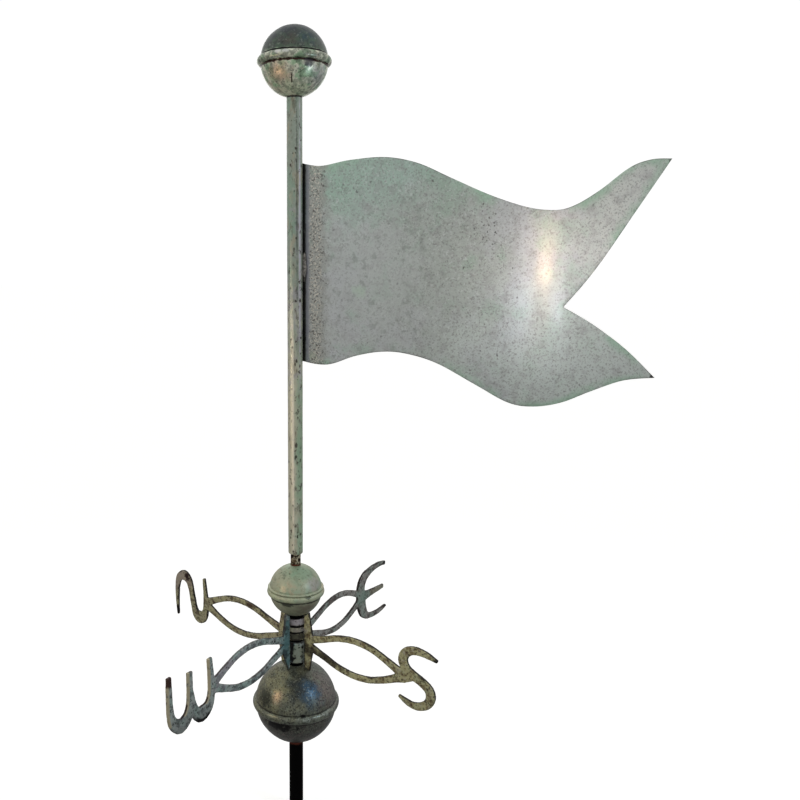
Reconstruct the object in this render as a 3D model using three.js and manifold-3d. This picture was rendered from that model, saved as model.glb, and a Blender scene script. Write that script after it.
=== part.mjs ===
// Banner weathervane of patinated copper with four cast compass arms, in millimetres, +Z up.
// The origin is the centre of the steel rod's flat foot. +X points east and +Y points north.
import * as THREE from 'three';
import { mergeVertices } from 'three/addons/utils/BufferGeometryUtils.js';
import Module from 'manifold-3d';

const gap = 0.3; // left between pieces that touch
const roundSides = 26; // facets round every turned piece

// Steel rod, stepped down to the spindle that the vane turns on
const rodRadius = 7.94;
const spindleRadius = 5.55;
const spindleTop = 782;
const footChamfer = 1;

// Heights of the stack on the rod, above its foot
const hubHeight = 215; // middle of the compass arms
const largeBall = { height: 140, radius: 45.8, bandRadius: 49, bandHalf: 4.8 };
const smallBall = { height: 273, radius: 29.2, bandRadius: 31.8, bandHalf: 5 };
const topBall = { height: 824, radius: 33.8, bandRadius: 37.2, bandHalf: 4.2 };

// Tube of the vane, open at its lower end
const tubeBottom = 315;
const tubeRadius = 7.94;
const tubeBore = 6.35;
const tubeRimRound = 2; // height of the rounded lower rim
const tubeRimInset = 1.3;

// Compass arms: u is the distance out from the rod, v the height above the hub's middle
const plateThick = 3.5;
const spineInner = 12.6; // the spines stand clear of the other arms' knuckles
const webOuter = 14.6; // the web from knuckle to spine ends inside the spine
const leafBar = [[21, 4.4, 9], [40, 10.6, 7.4], [58, 16.8, 7], [78, 19.8, 7], [98, 17.8, 7], [116, 11.4, 7.4],
  [130, 4.8, 9], [139, 1, 11]];
const leafStart = 30;
const leafEnd = 130;
const spineFoot = -38; // the spines run into the large ball here and are cut to its skin
const spineTaper = -22; // height where a spine is halfway in to its foot
const spineEdge = [[24, -9], [23.4, 9], [20.6, 24], [18.8, 36]]; // outer edge above the foot

// Each letter is drawn with pen strokes of [u, v, width]; leafLift raises the leaf at the hub and the letter.
// A knuckle has a radius and runs from one height to another; foot is the spine's reach at its lower end.
const arms = [
  {
    name: 'arm_east', heading: 0, leafLift: [0.8, 3.4], knuckle: [11.5, 18.8, 26.8], foot: 19,
    strokes: [
      [[191, 32.2, 5], [178, 34, 6], [165, 33.6, 7.6], [152, 31.2, 9.6], [140.6, 26.2, 13.6], [134.2, 16, 16],
        [134.2, 4, 17], [136.2, -8, 17.4], [140.4, -18, 14.6], [148, -25.6, 9.4], [158, -28.6, 7],
        [170, -30, 6.2], [182, -29.6, 5.4], [190, -28.4, 4.4], [195, -27.6, 2.8]],
      [[134, 3, 18], [148, 2.2, 10.8], [160, 2, 8.4], [172, 1.8, 6.8], [182, 1.6, 5.6], [187.6, 1.6, 5]],
    ],
  },
  {
    name: 'arm_north', heading: 90, leafLift: [1.2, 5.6], knuckle: [10.4, 0.6, 9.4], foot: 19,
    strokes: [
      [[186.4, -20.6, 2.6], [187, -8, 4], [187, 8, 5.4], [186, 20, 7], [182.4, 29.6, 9.6],
        [174.6, 33.6, 13.2], [167, 29.4, 10.8], [163.2, 20, 8.2], [160.6, 8, 8], [158, -4, 8.8],
        [155, -11.4, 12], [150, -14.6, 15.6], [145, -15, 15]],
      [[151, -15, 15.6], [146, -14.4, 15.4], [141.4, -10.4, 11.8], [138.6, -3, 8.2], [138.2, 12, 6.6],
        [139.2, 25, 5], [140.4, 37, 3.6]],
    ],
  },
  {
    name: 'arm_west', heading: 180, leafLift: [0.8, 1.2], knuckle: [11.5, -25.4, -1.4], foot: 13.4,
    strokes: [
      [[195.2, 35, 5.4], [195, 20, 6.2], [194.8, 6, 7], [193.6, -6, 8.6], [189.6, -15, 12],
        [180.8, -20.4, 15], [172.4, -15.2, 13], [169, -5, 8.6], [168, 10, 7], [168, 29.6, 6.6]],
      [[167.6, 8, 7], [165, -6, 9], [161, -15.8, 11.4], [152.2, -20.8, 17.4], [143.2, -16.4, 13.4],
        [139, -6, 9], [138.6, 12, 7.4], [139.6, 23, 6.6], [140.4, 32.6, 5.6]],
    ],
  },
  {
    name: 'arm_south', heading: -90, leafLift: [-0.6, -2.2], knuckle: [11.5, 11.2, 17], foot: 19,
    strokes: [
      [[176, 24.6, 3], [166, 27.8, 6], [155, 29.4, 8], [146, 28, 9.2], [139, 22.6, 10.4],
        [137.2, 15, 10.8], [140.8, 7.4, 10.4], [149.6, 2, 10], [159.4, -2.2, 10], [167.4, -8.2, 10.4],
        [169.6, -16, 10.4], [166.2, -23.8, 9.6], [158, -29.2, 8.4], [149, -30.4, 7.2], [141, -28.2, 5.6],
        [133, -24.6, 2.4]],
      [[128, -7.4, 9], [139, -4, 9], [150, 0.6, 7.6]],
    ],
  },
];

// Flag of the vane: x runs out from the tube, z is the height above the hub's middle
const flagHeading = -53; // at rest, between east and south
const sheetThick = 1.6;
const sheetPlan = [[7, 6.4], [12, 3.2], [20, 1.2], [34, 1.6], [95, 6], [175, 0], [255, -6.5], [320, -2.5],
  [386, 4]];
const flagTop = [[6, 513.6], [26, 510], [56, 516], [92, 519], [125, 513], [160, 497.5], [200, 480],
  [235, 468.5], [262, 465.4], [282, 469.5], [308, 484.5], [338, 507], [360, 515.2], [382, 516.4]];
const upperTail = [[382, 516.4], [346, 462], [308, 405], [277, 368]];
const lowerTail = [[277, 368], [308, 351], [346, 324.5], [381, 293]];
const flagBottom = [[381, 293], [346, 290.6], [310, 279], [280, 268], [250, 264], [224, 268.4], [190, 287],
  [150, 309], [118, 319], [92, 321.2], [64, 317], [34, 308.2], [6, 312]];
const solder = { x: 10.2, y: 1.4, z: 410, halfWide: 3, halfDeep: 2.6, halfTall: 14 };

const wasm = await Module();
wasm.setup();

const copper = { color: 0x8d9a8c, roughness: 0.5, metalness: 0.6 };
const dullCopper = { color: 0x5d625c, roughness: 0.5, metalness: 0.6 };
const castBronze = { color: 0x7d7c66, roughness: 0.6, metalness: 0.5 };
const blackSteel = { color: 0x171616, roughness: 0.45, metalness: 0.6 };

// Closed solid from a geometry, with shared corners merged and flat triangles dropped
function toSolid(geometry) {
  const bare = geometry.index ? geometry.toNonIndexed() : geometry;
  bare.deleteAttribute('normal');
  bare.deleteAttribute('uv');
  const merged = mergeVertices(bare, 1e-3);
  const corners = merged.index.array;
  const kept = [];
  for (let i = 0; i < corners.length; i += 3) {
    const [a, b, c] = corners.slice(i, i + 3);
    if (a !== b && b !== c && c !== a) kept.push(a, b, c);
  }
  return new wasm.Manifold(new wasm.Mesh({
    numProp: 3,
    vertProperties: Float32Array.from(merged.attributes.position.array),
    triVerts: Uint32Array.from(kept),
  }));
}

function piece(name, solid, finish) {
  const { vertProperties, triVerts } = solid.getMesh();
  const geometry = new THREE.BufferGeometry();
  geometry.setAttribute('position', new THREE.BufferAttribute(Float32Array.from(vertProperties), 3));
  geometry.setIndex(new THREE.BufferAttribute(Uint32Array.from(triVerts), 1));
  geometry.computeVertexNormals();
  const mesh = new THREE.Mesh(geometry, new THREE.MeshStandardMaterial(finish));
  mesh.name = name;
  return mesh;
}

// Turned solid about +Z from [radius, height] points, listed upwards on the outside
function turned(points) {
  const profile = points.map(([radius, height]) => new THREE.Vector2(radius, height));
  return toSolid(new THREE.LatheGeometry(profile, roundSides).rotateX(Math.PI / 2));
}

function bore(radius, from, to) {
  return turned([[0, from], [radius, from], [radius, to], [0, to]]);
}

// Outer profile of a ball with its rolled band, from the radius where it starts to where it ends
function ballProfile({ height, radius, bandRadius, bandHalf }, startRadius, endRadius) {
  const capSteps = 8;
  const bandSteps = 6;
  const points = [];
  const bandEdge = Math.asin(bandHalf / radius);
  const start = Math.acos(startRadius / radius);
  const end = Math.acos(endRadius / radius);
  const arc = (from, to) => {
    for (let i = 0; i <= capSteps; i += 1) {
      const angle = from + (to - from) * i / capSteps;
      points.push([radius * Math.cos(angle), height + radius * Math.sin(angle)]);
    }
  };
  arc(-start, -bandEdge);
  const neck = radius * Math.cos(bandEdge);
  for (let i = 1; i < bandSteps; i += 1) {
    const angle = Math.PI * (i / bandSteps - 0.5);
    points.push([neck + (bandRadius - neck) * Math.cos(angle), height + bandHalf * Math.sin(angle)]);
  }
  arc(bandEdge, end);
  return points;
}

// Height at which a ball's sphere has the given radius
function sphereHeight(ball, radius, side) {
  return ball.height + side * Math.sqrt(ball.radius ** 2 - radius ** 2);
}

const shoulder = sphereHeight(smallBall, rodRadius, -1) - gap; // the small ball sits on it
const tubeTop = sphereHeight(topBall, tubeRadius, -1) - gap;

function supportRod() {
  return turned([[0, 0], [rodRadius - footChamfer, 0], [rodRadius, footChamfer], [rodRadius, shoulder],
    [spindleRadius, shoulder], [spindleRadius, spindleTop - footChamfer],
    [spindleRadius - footChamfer, spindleTop], [0, spindleTop]]);
}

function boredBall(ball, holeRadius, startRadius) {
  const profile = ballProfile(ball, startRadius, holeRadius);
  const mouth = [holeRadius, profile[0][1]]; // lower end of the hole
  return turned([mouth, ...profile, mouth]);
}

function finialBall() {
  const profile = ballProfile(topBall, tubeRadius, 0);
  return turned([[0, profile[0][1]], ...profile]);
}

function vaneTube() {
  const rim = [];
  const rimSteps = 4;
  for (let i = 0; i <= rimSteps; i += 1) {
    const angle = (Math.PI / 2) * (i / rimSteps);
    const inset = tubeRimInset * (1 - Math.sin(angle));
    rim.push([tubeRadius - inset, tubeBottom + tubeRimRound * (1 - Math.cos(angle))]);
  }
  return turned([[tubeBore, tubeBottom], ...rim, [tubeRadius, tubeTop], [tubeBore, tubeTop],
    [tubeBore, tubeBottom]]);
}

function flatShape(points) {
  return new THREE.Shape(points.map(([x, y]) => new THREE.Vector2(x, y)));
}

// Upright plate along the arm from a flat outline in u and v
function plate(outline) {
  const slab = new THREE.ExtrudeGeometry(outline, { depth: plateThick, bevelEnabled: false });
  return toSolid(slab.rotateX(Math.PI / 2).translate(0, plateThick / 2, hubHeight));
}

// Outline of a pen stroke: a smooth line through the pen's places, as wide as the pen is at each
function penOutline(stroke) {
  const stepsBetween = 3;
  const places = stroke.map(([u, v, width]) => new THREE.Vector3(u, v, width));
  const line = new THREE.CatmullRomCurve3(places, false, 'centripetal');
  const steps = (stroke.length - 1) * stepsBetween;
  const left = [];
  const right = [];
  for (let i = 0; i <= steps; i += 1) {
    const place = line.getPoint(i / steps);
    const along = line.getTangent(i / steps);
    const across = new THREE.Vector2(-along.y, along.x).setLength(place.z / 2);
    left.push(new THREE.Vector2(place.x + across.x, place.y + across.y));
    right.unshift(new THREE.Vector2(place.x - across.x, place.y - across.y));
  }
  return new THREE.Shape([...left, ...right]);
}

function compassArm({ strokes, leafLift, knuckle, foot }) {
  const climb = (u) => THREE.MathUtils.mapLinear(u, leafStart, leafEnd, ...leafLift);
  const bars = [1, -1].map((side) => leafBar.map(([u, v, width]) => [u, side * v + climb(u), width]));
  const [knuckleRadius, low, high] = knuckle;
  const ring = bore(knuckleRadius, hubHeight + low, hubHeight + high);
  const webOutline = [[rodRadius, low], [webOuter, low], [webOuter, high], [rodRadius, high]];
  const halfway = [(foot + spineEdge[0][0]) / 2, spineTaper];
  const spineOutline = [[spineInner, spineFoot], [foot, spineFoot], halfway, ...spineEdge,
    [spineInner, spineEdge.at(-1)[1]]];
  let solid = plate(flatShape(spineOutline)).add(plate(flatShape(webOutline))).add(ring);
  for (const stroke of [...bars, ...strokes]) solid = solid.add(plate(penOutline(stroke)));
  for (const ball of [largeBall, smallBall]) {
    const clear = { ...ball, radius: ball.radius + gap, bandRadius: ball.bandRadius + gap };
    solid = solid.subtract(turned(ballProfile(clear, 0, 0)));
  }
  return solid.subtract(bore(rodRadius + gap, 0, spindleTop));
}

// Smooth run through points, without its last one
function smoothRun(points) {
  const stepsBetween = 3;
  const curve = new THREE.SplineCurve(points.map(([x, y]) => new THREE.Vector2(x, y)));
  return curve.getPoints((points.length - 1) * stepsBetween).slice(0, -1);
}

function flag() {
  const outline = new THREE.Shape([flagTop, upperTail, lowerTail, flagBottom].flatMap(smoothRun).concat(
    new THREE.Vector2(...flagBottom.at(-1))));
  const deep = 60;
  const cutter = new THREE.ExtrudeGeometry(outline, { depth: deep, bevelEnabled: false });
  const prism = toSolid(cutter.rotateX(Math.PI / 2).translate(0, deep / 2, hubHeight));
  const plan = new THREE.SplineCurve(sheetPlan.map(([x, y]) => new THREE.Vector2(x, y)));
  const planSteps = 28;
  const front = [];
  const back = [];
  for (let i = 0; i <= planSteps; i += 1) {
    const place = plan.getPoint(i / planSteps);
    const along = plan.getTangent(i / planSteps);
    const across = new THREE.Vector2(-along.y, along.x).setLength(sheetThick / 2);
    front.push(place.clone().add(across));
    back.unshift(place.clone().sub(across));
  }
  const tall = 300;
  const lowest = hubHeight + 240;
  const section = new THREE.Shape([...front, ...back]);
  const wave = new THREE.ExtrudeGeometry(section, { depth: tall, bevelEnabled: false });
  const sheet = toSolid(wave.translate(0, 0, lowest)).intersect(prism);
  const bead = new THREE.SphereGeometry(1, 12, 8).scale(solder.halfWide, solder.halfDeep, solder.halfTall);
  return sheet.add(toSolid(bead.translate(solder.x, solder.y, hubHeight + solder.z)))
    .subtract(bore(tubeRadius + gap, tubeBottom, tubeTop));
}

const weathervane = new THREE.Group();
weathervane.add(piece('support_rod', supportRod(), blackSteel));
weathervane.add(piece('large_ball', boredBall(largeBall, rodRadius + gap, rodRadius + gap), dullCopper));
weathervane.add(piece('small_ball', boredBall(smallBall, spindleRadius + gap, rodRadius), copper));
for (const arm of arms) {
  const turn = new THREE.Group();
  turn.rotation.z = THREE.MathUtils.degToRad(arm.heading);
  turn.add(piece(arm.name, compassArm(arm), castBronze));
  weathervane.add(turn);
}
const vane = new THREE.Group();
vane.rotation.z = THREE.MathUtils.degToRad(flagHeading);
vane.add(piece('vane_tube', vaneTube(), copper));
vane.add(piece('flag', flag(), copper));
vane.add(piece('top_ball', finialBall(), dullCopper));
weathervane.add(vane);

export default weathervane;
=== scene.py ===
import bpy
import bmesh
import math
from mathutils import Matrix, Vector, kdtree, noise


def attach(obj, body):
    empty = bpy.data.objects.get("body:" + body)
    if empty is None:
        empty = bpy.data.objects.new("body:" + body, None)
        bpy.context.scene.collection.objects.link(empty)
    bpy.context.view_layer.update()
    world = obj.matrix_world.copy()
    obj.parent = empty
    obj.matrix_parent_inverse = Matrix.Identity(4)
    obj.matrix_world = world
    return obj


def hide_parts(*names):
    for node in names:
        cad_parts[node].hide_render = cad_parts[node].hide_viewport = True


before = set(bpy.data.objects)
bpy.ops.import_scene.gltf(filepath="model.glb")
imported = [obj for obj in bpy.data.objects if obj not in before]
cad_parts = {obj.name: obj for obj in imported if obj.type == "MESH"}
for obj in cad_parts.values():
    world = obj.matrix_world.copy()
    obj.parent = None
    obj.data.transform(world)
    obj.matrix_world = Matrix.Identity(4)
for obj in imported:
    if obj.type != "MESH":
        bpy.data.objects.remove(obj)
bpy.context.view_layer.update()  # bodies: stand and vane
scene = bpy.context.scene
mm = 0.001
weld = 1e-7  # metres: points nearer than this are one
print("frame loaded:", len(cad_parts), "nodes")


# Mesh tools shared by the pieces

def turnProfile(profile, steps, closed=False):
    bm = bmesh.new()
    verts = [bm.verts.new((radius * mm, 0, height * mm)) for radius, height in profile]
    pairs = list(zip(verts, verts[1:]))
    if closed:
        pairs.append((verts[-1], verts[0]))
    edges = [bm.edges.new(pair) for pair in pairs]
    bmesh.ops.spin(bm, geom=verts + edges, cent=(0, 0, 0), axis=(0, 0, 1), dvec=(0, 0, 0),
                   angle=math.tau, steps=steps, use_merge=True)
    bmesh.ops.remove_doubles(bm, verts=bm.verts, dist=weld)
    bmesh.ops.recalc_face_normals(bm, faces=bm.faces)
    return bm


# Pushes the skin in and out along its normals, as hand work and casting leave it; depth and span in mm
def wearSkin(bm, depth, span, seed):
    bm.normal_update()
    shift = Vector((seed, seed * 0.7, -seed))
    moves = []
    for vert in bm.verts:
        push = noise.noise(vert.co / (span * mm) + shift) * depth * mm
        moves.append(vert.normal * push)
    for vert, move in zip(bm.verts, moves):
        vert.co += move


def splinePoint(points, t):
    spot = t * (len(points) - 1)
    i = min(int(spot), len(points) - 2)
    w = spot - i
    near = [Vector(points[min(max(i + k, 0), len(points) - 1)]) for k in (-1, 0, 1, 2)]
    leave = (near[2] - near[0]) / 2
    arrive = (near[3] - near[1]) / 2
    start, end = near[1], near[2]
    return ((2 * start - 2 * end + leave + arrive) * w ** 3
            + (-3 * start + 3 * end - 2 * leave - arrive) * w ** 2 + leave * w + start)


# Points along a smooth line through the given ones, without the last
def smoothRun(points, stepsBetween):
    count = (len(points) - 1) * stepsBetween
    return [splinePoint(points, i / count) for i in range(count)]


def finishPiece(name, bm, body, slotName, nodes, *materials, sharpAngle=50):
    mesh = bpy.data.meshes.new(name)
    bm.to_mesh(mesh)
    bm.free()
    for material in materials:
        mesh.materials.append(material)
    mesh.shade_smooth()
    mesh.set_sharp_from_angle(angle=math.radians(sharpAngle))
    piece = bpy.data.objects.new(name, mesh)
    scene.collection.objects.link(piece)
    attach(piece, body)
    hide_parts(*nodes)
    print(name, "made,", len(mesh.polygons), "faces")
    return piece


# Mesh of an object with its modifiers carried out
def settledMesh(piece):
    graph = bpy.context.evaluated_depsgraph_get()
    return bpy.data.meshes.new_from_object(piece.evaluated_get(graph))


# Material tools: every finish is a ground colour with layers over it

patinaSet = {
    "seedStep": 1.7,  # sets the noise of one layer apart from the next
    "cloudRoughness": 0.6, "cloudDetail": 4,
    "ragged": 0.5, "raggedSize": 8, "raggedSeed": 0.37, "raggedRange": (0.2, 0.8),
    "soft": 0.3,
    "speckBends": 2.6, "speckBend": 0.6,  # bends in one spacing, and their depth as a share of it
    "speckCore": 0.55,  # share of a speck's reach that is full
    "glossDetail": 5, "glossSeed": 31, "glossRange": (0.25, 0.75),
    "fineGrain": (1, 3, 17), "coarseGrain": (7, 4, 19),  # times the look's grain, detail and seed
}


def paint(red, green, blue):
    def linear(level):
        level /= 255
        return level / 12.92 if level <= 0.04045 else ((level + 0.055) / 1.055) ** 2.4
    return (linear(red), linear(green), linear(blue), 1)


def put(tree, kind, sockets, **settings):
    made = tree.nodes.new("ShaderNode" + kind)
    for key, value in settings.items():
        setattr(made, key, value)
    for key, value in sockets.items():
        if isinstance(value, bpy.types.NodeSocket):
            tree.links.new(value, made.inputs[key])
        else:
            made.inputs[key].default_value = value
    return made


# Noise from 0 to 1 with features of about the given size in mm
def cloud(tree, where, size, detail, seed):
    made = put(tree, "TexNoise", {"Vector": where, "W": seed * patinaSet["seedStep"],
                                  "Scale": 1000 / size, "Detail": detail,
                                  "Roughness": patinaSet["cloudRoughness"]}, noise_dimensions="4D")
    return made.outputs["Fac"]


def ramp(tree, value, low, high, start=0.0, end=1.0):
    made = put(tree, "MapRange", {"Value": value, "From Min": low, "From Max": high, "To Min": start,
                                  "To Max": end}, interpolation_type="SMOOTHSTEP")
    return made.outputs["Result"]


def sums(tree, kind, first, second):
    return put(tree, "Math", {0: first, 1: second}, operation=kind).outputs[0]


def mixColour(tree, share, under, over):
    made = put(tree, "Mix", {0: share, 6: under, 7: over}, data_type="RGBA")
    return made.outputs[2]


# Moves a mask's edge in and out by up to the given amount
def unevenness(tree, where, layer, amount, seed):
    size = layer.get("raggedSize", patinaSet["raggedSize"])
    rough = cloud(tree, where, size, patinaSet["cloudDetail"], seed + patinaSet["raggedSeed"])
    return ramp(tree, rough, *patinaSet["raggedRange"], -amount, amount)


# 1 inside a soft ragged ellipsoid, 0 outside it; at and size are in mm, turn is its heading
def patchMask(tree, where, layer, seed):
    local = put(tree, "Mapping", {"Vector": where, "Location": [c * mm for c in layer["at"]],
                                  "Rotation": (0, 0, math.radians(layer.get("turn", 0))),
                                  "Scale": [c * mm for c in layer["size"]]}, vector_type="TEXTURE")
    reach = put(tree, "VectorMath", {0: local.outputs[0]}, operation="LENGTH").outputs["Value"]
    ragged = layer.get("ragged", patinaSet["ragged"])
    if ragged:
        reach = sums(tree, "ADD", reach, unevenness(tree, where, layer, ragged, seed))
    soft = layer.get("soft", patinaSet["soft"])
    return ramp(tree, reach, 1 + soft, 1 - soft)


# Scattered round specks: spacing in mm, reach as a share of it, and the share of cells that hold one
def speckMask(tree, where, layer, seed):
    spacing, reach, share = layer["specks"]
    bends = patinaSet["speckBends"] * 1000 / spacing
    wobble = put(tree, "TexNoise", {"Vector": where, "Scale": bends, "Detail": 2}).outputs["Color"]
    bent = put(tree, "VectorMath", {0: wobble, 1: (seed, seed * 0.6, 0.5)}, operation="SUBTRACT")
    bent = put(tree, "VectorMath", {0: bent.outputs[0], "Scale": spacing * patinaSet["speckBend"] * mm},
               operation="SCALE")
    place = put(tree, "VectorMath", {0: where, 1: bent.outputs[0]}, operation="ADD")
    cells = put(tree, "TexVoronoi", {"Vector": place.outputs[0], "Scale": 1000 / spacing})
    near = ramp(tree, cells.outputs["Distance"], reach, reach * patinaSet["speckCore"])
    pick = put(tree, "SeparateColor", {0: cells.outputs["Color"]}).outputs[0]
    held = sums(tree, "LESS_THAN", pick, share)
    return sums(tree, "MULTIPLY", near, held)


# A layer shows where its patch, cloud, specks and mark all do
def layerMask(tree, where, layer, seed):
    masks = []
    if "stretch" in layer:  # features drawn out along the height
        where = put(tree, "Mapping", {"Vector": where, "Scale": (1, 1, 1 / layer["stretch"])}).outputs[0]
    if "at" in layer:
        masks.append(patchMask(tree, where, layer, seed))
    if "cloud" in layer:
        size, low, high = layer["cloud"]
        detail = layer.get("detail", patinaSet["cloudDetail"])
        masks.append(ramp(tree, cloud(tree, where, size, detail, seed), low, high))
    if "specks" in layer:
        masks.append(speckMask(tree, where, layer, seed))
    if "mark" in layer:  # a mesh attribute, between two of its values
        name, low, high = layer["mark"]
        marked = put(tree, "Attribute", {}, attribute_name=name).outputs["Fac"]
        if layer.get("ragged"):
            marked = sums(tree, "ADD", marked, unevenness(tree, where, layer, layer["ragged"], seed))
        masks.append(ramp(tree, marked, low, high))
    mask = masks[0]
    for other in masks[1:]:
        mask = sums(tree, "MULTIPLY", mask, other)
    return sums(tree, "MULTIPLY", mask, layer.get("amount", 1.0))


def layeredColours(name, look):
    material = bpy.data.materials.new(name)
    material.use_nodes = True
    tree = material.node_tree
    shader = tree.nodes["Principled BSDF"]
    where = put(tree, "TexCoord", {}).outputs["Object"]
    colour = paint(*look["ground"])
    for seed, layer in enumerate(look["layers"]):
        mask = layerMask(tree, where, layer, seed + look.get("seed", 0))
        colour = mixColour(tree, mask, colour, paint(*layer["colour"]))
    tree.links.new(colour, shader.inputs["Base Color"])
    gloss = cloud(tree, where, look["glossSize"], patinaSet["glossDetail"], patinaSet["glossSeed"])
    gloss = ramp(tree, gloss, *patinaSet["glossRange"], *look["roughness"])
    tree.links.new(gloss, shader.inputs["Roughness"])
    shader.inputs["Metallic"].default_value = look["metallic"]
    shader.inputs["Specular IOR Level"].default_value = look["specular"]
    coatWeight, coatRoughness = look["lacquer"]
    shader.inputs["Coat Weight"].default_value = coatWeight
    shader.inputs["Coat Roughness"].default_value = coatRoughness
    grains = []
    for key in ("fineGrain", "coarseGrain"):
        times, detail, seed = patinaSet[key]
        grains.append(cloud(tree, where, look["grain"] * times, detail, seed))
    grain = sums(tree, "ADD", *grains)
    bump = put(tree, "Bump", {"Height": grain, "Strength": look["bump"],
                              "Distance": look["bumpDepth"] * mm})
    tree.links.new(bump.outputs[0], shader.inputs["Normal"])
    return material


# Camera at the photo's place, and the studio round it

cameraSet = {
    "place": (-0.6674, -0.5075, 0.6162),
    "heading": 37.25,  # degrees from east, anticlockwise
    "pitch": -10.19,
    "roll": -0.16,
    "lens": 35.87,
    "sensor": 36,
    "clip": (0.01, 200),
    "shift": (0.1309, 0.0231),
}


def makeCamera():
    heading, pitch, roll = (math.radians(cameraSet[key]) for key in ("heading", "pitch", "roll"))
    level = math.cos(pitch)
    ahead = Vector((math.cos(heading) * level, math.sin(heading) * level, math.sin(pitch)))
    side = Vector((math.sin(heading), -math.cos(heading), 0))
    up = side.cross(ahead)
    right = math.cos(roll) * side + math.sin(roll) * up
    top = -math.sin(roll) * side + math.cos(roll) * up
    data = bpy.data.cameras.new("camera")
    data.sensor_width = cameraSet["sensor"]
    data.lens = cameraSet["lens"]
    data.shift_x, data.shift_y = cameraSet["shift"]
    data.clip_start, data.clip_end = cameraSet["clip"]
    camera = bpy.data.objects.new("camera", data)
    turned = Matrix((right, top, -ahead)).transposed().to_4x4()
    camera.matrix_world = Matrix.Translation(cameraSet["place"]) @ turned
    scene.collection.objects.link(camera)
    scene.camera = camera


studio = {
    "white": 1.03,  # what the camera sees behind the object
    "skyStrength": 0.68,
    "belowStrength": 0.22,
    "horizon": (-0.35, 0.25),  # between these the light from below gives way to the sky
    "floorRadius": 60,
    "floorSides": 96,
    "floorColour": (240, 240, 238),
    "floorLift": 0.42,
}
# Name: place, aim, width, height, colour, brightness, beam in degrees
lamps = {
    "warmHigh": ((-0.58, 0.27, 0.45), (0, 0, 0.82), 0.11, 0.16, (1.0, 0.7, 0.48), 13, 34),
    "warmLow": ((-0.58, 0.27, 0.45), (0, 0, 0.16), 0.09, 0.15, (1.0, 0.74, 0.54), 17, 40),
    "warmSide": ((-0.58, 0.27, 0.45), (0, 0, 0.45), 0.06, 0.42, (1.0, 0.86, 0.68), 14, 36),
    "coolHigh": ((0.035, -0.635, 0.53), (0, 0, 0.82), 0.11, 0.16, (0.74, 0.86, 1.0), 21, 34),
    "coolLow": ((0.035, -0.635, 0.53), (0, 0, 0.16), 0.11, 0.2, (0.66, 0.82, 1.0), 22, 40),
    "flagLamp": ((-0.401, -0.921, 0.634), (0.149, -0.208, 0.622), 0.14, 0.04, (1.0, 0.66, 0.38), 47, 16),
    "sheenLeft": ((-0.491, -0.837, 0.618), (0.14, -0.195, 0.618), 0.13, 0.14, (0.9, 0.88, 1.0), 5.0, 16),
    "sheenMid": ((-0.401, -0.921, 0.618), (0.149, -0.208, 0.618), 0.13, 0.14, (0.9, 0.88, 1.0), 3.6, 16),
    "sheenRight": ((-0.297, -0.997, 0.618), (0.159, -0.221, 0.618), 0.13, 0.14, (0.9, 0.88, 1.0), 3.9, 16),
    "sheenTail": ((-0.161, -1.085, 0.641), (0.19, -0.256, 0.629), 0.13, 0.12, (1.0, 0.97, 1.0), 2.8, 20),
    "leftGlow": ((-0.507, -0.819, 0.551), (0.137, -0.191, 0.584), 0.08, 0.07, (0.74, 0.84, 1.0), 12, 16),
    "rightGlow": ((-0.313, -0.986, 0.542), (0.157, -0.219, 0.58), 0.08, 0.07, (0.74, 0.84, 1.0), 14.5, 16),
    "backFill": ((0.85, 0.75, 0.95), (0, 0, 0.45), 0.9, 0.9, (1.0, 0.99, 0.96), 1.5, 120),
}


# Even pale light, weaker from below; the camera itself sees plain white
def makeSky():
    world = bpy.data.worlds.new("studio")
    world.use_nodes = True
    tree = world.node_tree
    toward = put(tree, "TexCoord", {}).outputs["Generated"]
    height = put(tree, "SeparateXYZ", {0: toward}).outputs["Z"]
    level = ramp(tree, height, *studio["horizon"], studio["belowStrength"], studio["skyStrength"])
    seen = put(tree, "LightPath", {}).outputs["Is Camera Ray"]
    strength = put(tree, "Mix", {0: seen, 2: level, 3: studio["white"]}).outputs[0]
    tree.links.new(strength, tree.nodes["Background"].inputs["Strength"])
    tree.nodes["Background"].inputs["Color"].default_value = (1, 1, 1, 1)
    scene.world = world


def makeLamps():
    for name, (place, aim, width, height, colour, brightness, beam) in lamps.items():
        half = math.radians(beam) / 2
        gain = 1 - half / math.tan(half)  # a narrow beam is brighter along its axis
        data = bpy.data.lights.new(name, "AREA")
        data.shape = "ELLIPSE"
        data.size, data.size_y = width, height
        data.spread = 2 * half
        data.color = colour
        data.energy = brightness * math.pi * (math.pi / 4 * width * height) * gain
        lamp = bpy.data.objects.new(name, data)
        lamp.visible_camera = False
        toward = Vector(place) - Vector(aim)
        turned = toward.to_track_quat("Z", "Y").to_matrix().to_4x4()
        lamp.matrix_world = Matrix.Translation(place) @ turned
        scene.collection.objects.link(lamp)


def makeFloor():
    bm = bmesh.new()
    bmesh.ops.create_circle(bm, cap_ends=True, segments=studio["floorSides"], radius=studio["floorRadius"])
    mesh = bpy.data.meshes.new("floor")
    bm.to_mesh(mesh)
    bm.free()
    material = bpy.data.materials.new("paleFloor")
    material.use_nodes = True
    shader = material.node_tree.nodes["Principled BSDF"]
    shader.inputs["Base Color"].default_value = paint(*studio["floorColour"])
    shader.inputs["Roughness"].default_value = 1
    shader.inputs["Specular IOR Level"].default_value = 0
    shader.inputs["Emission Color"].default_value = (1, 1, 1, 1)
    shader.inputs["Emission Strength"].default_value = studio["floorLift"]
    mesh.materials.append(material)
    floor = bpy.data.objects.new("floor", mesh)
    floor.visible_diffuse = False  # the sky gives the light from below instead
    floor.visible_glossy = False
    floor.visible_shadow = False
    scene.collection.objects.link(floor)


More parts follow.
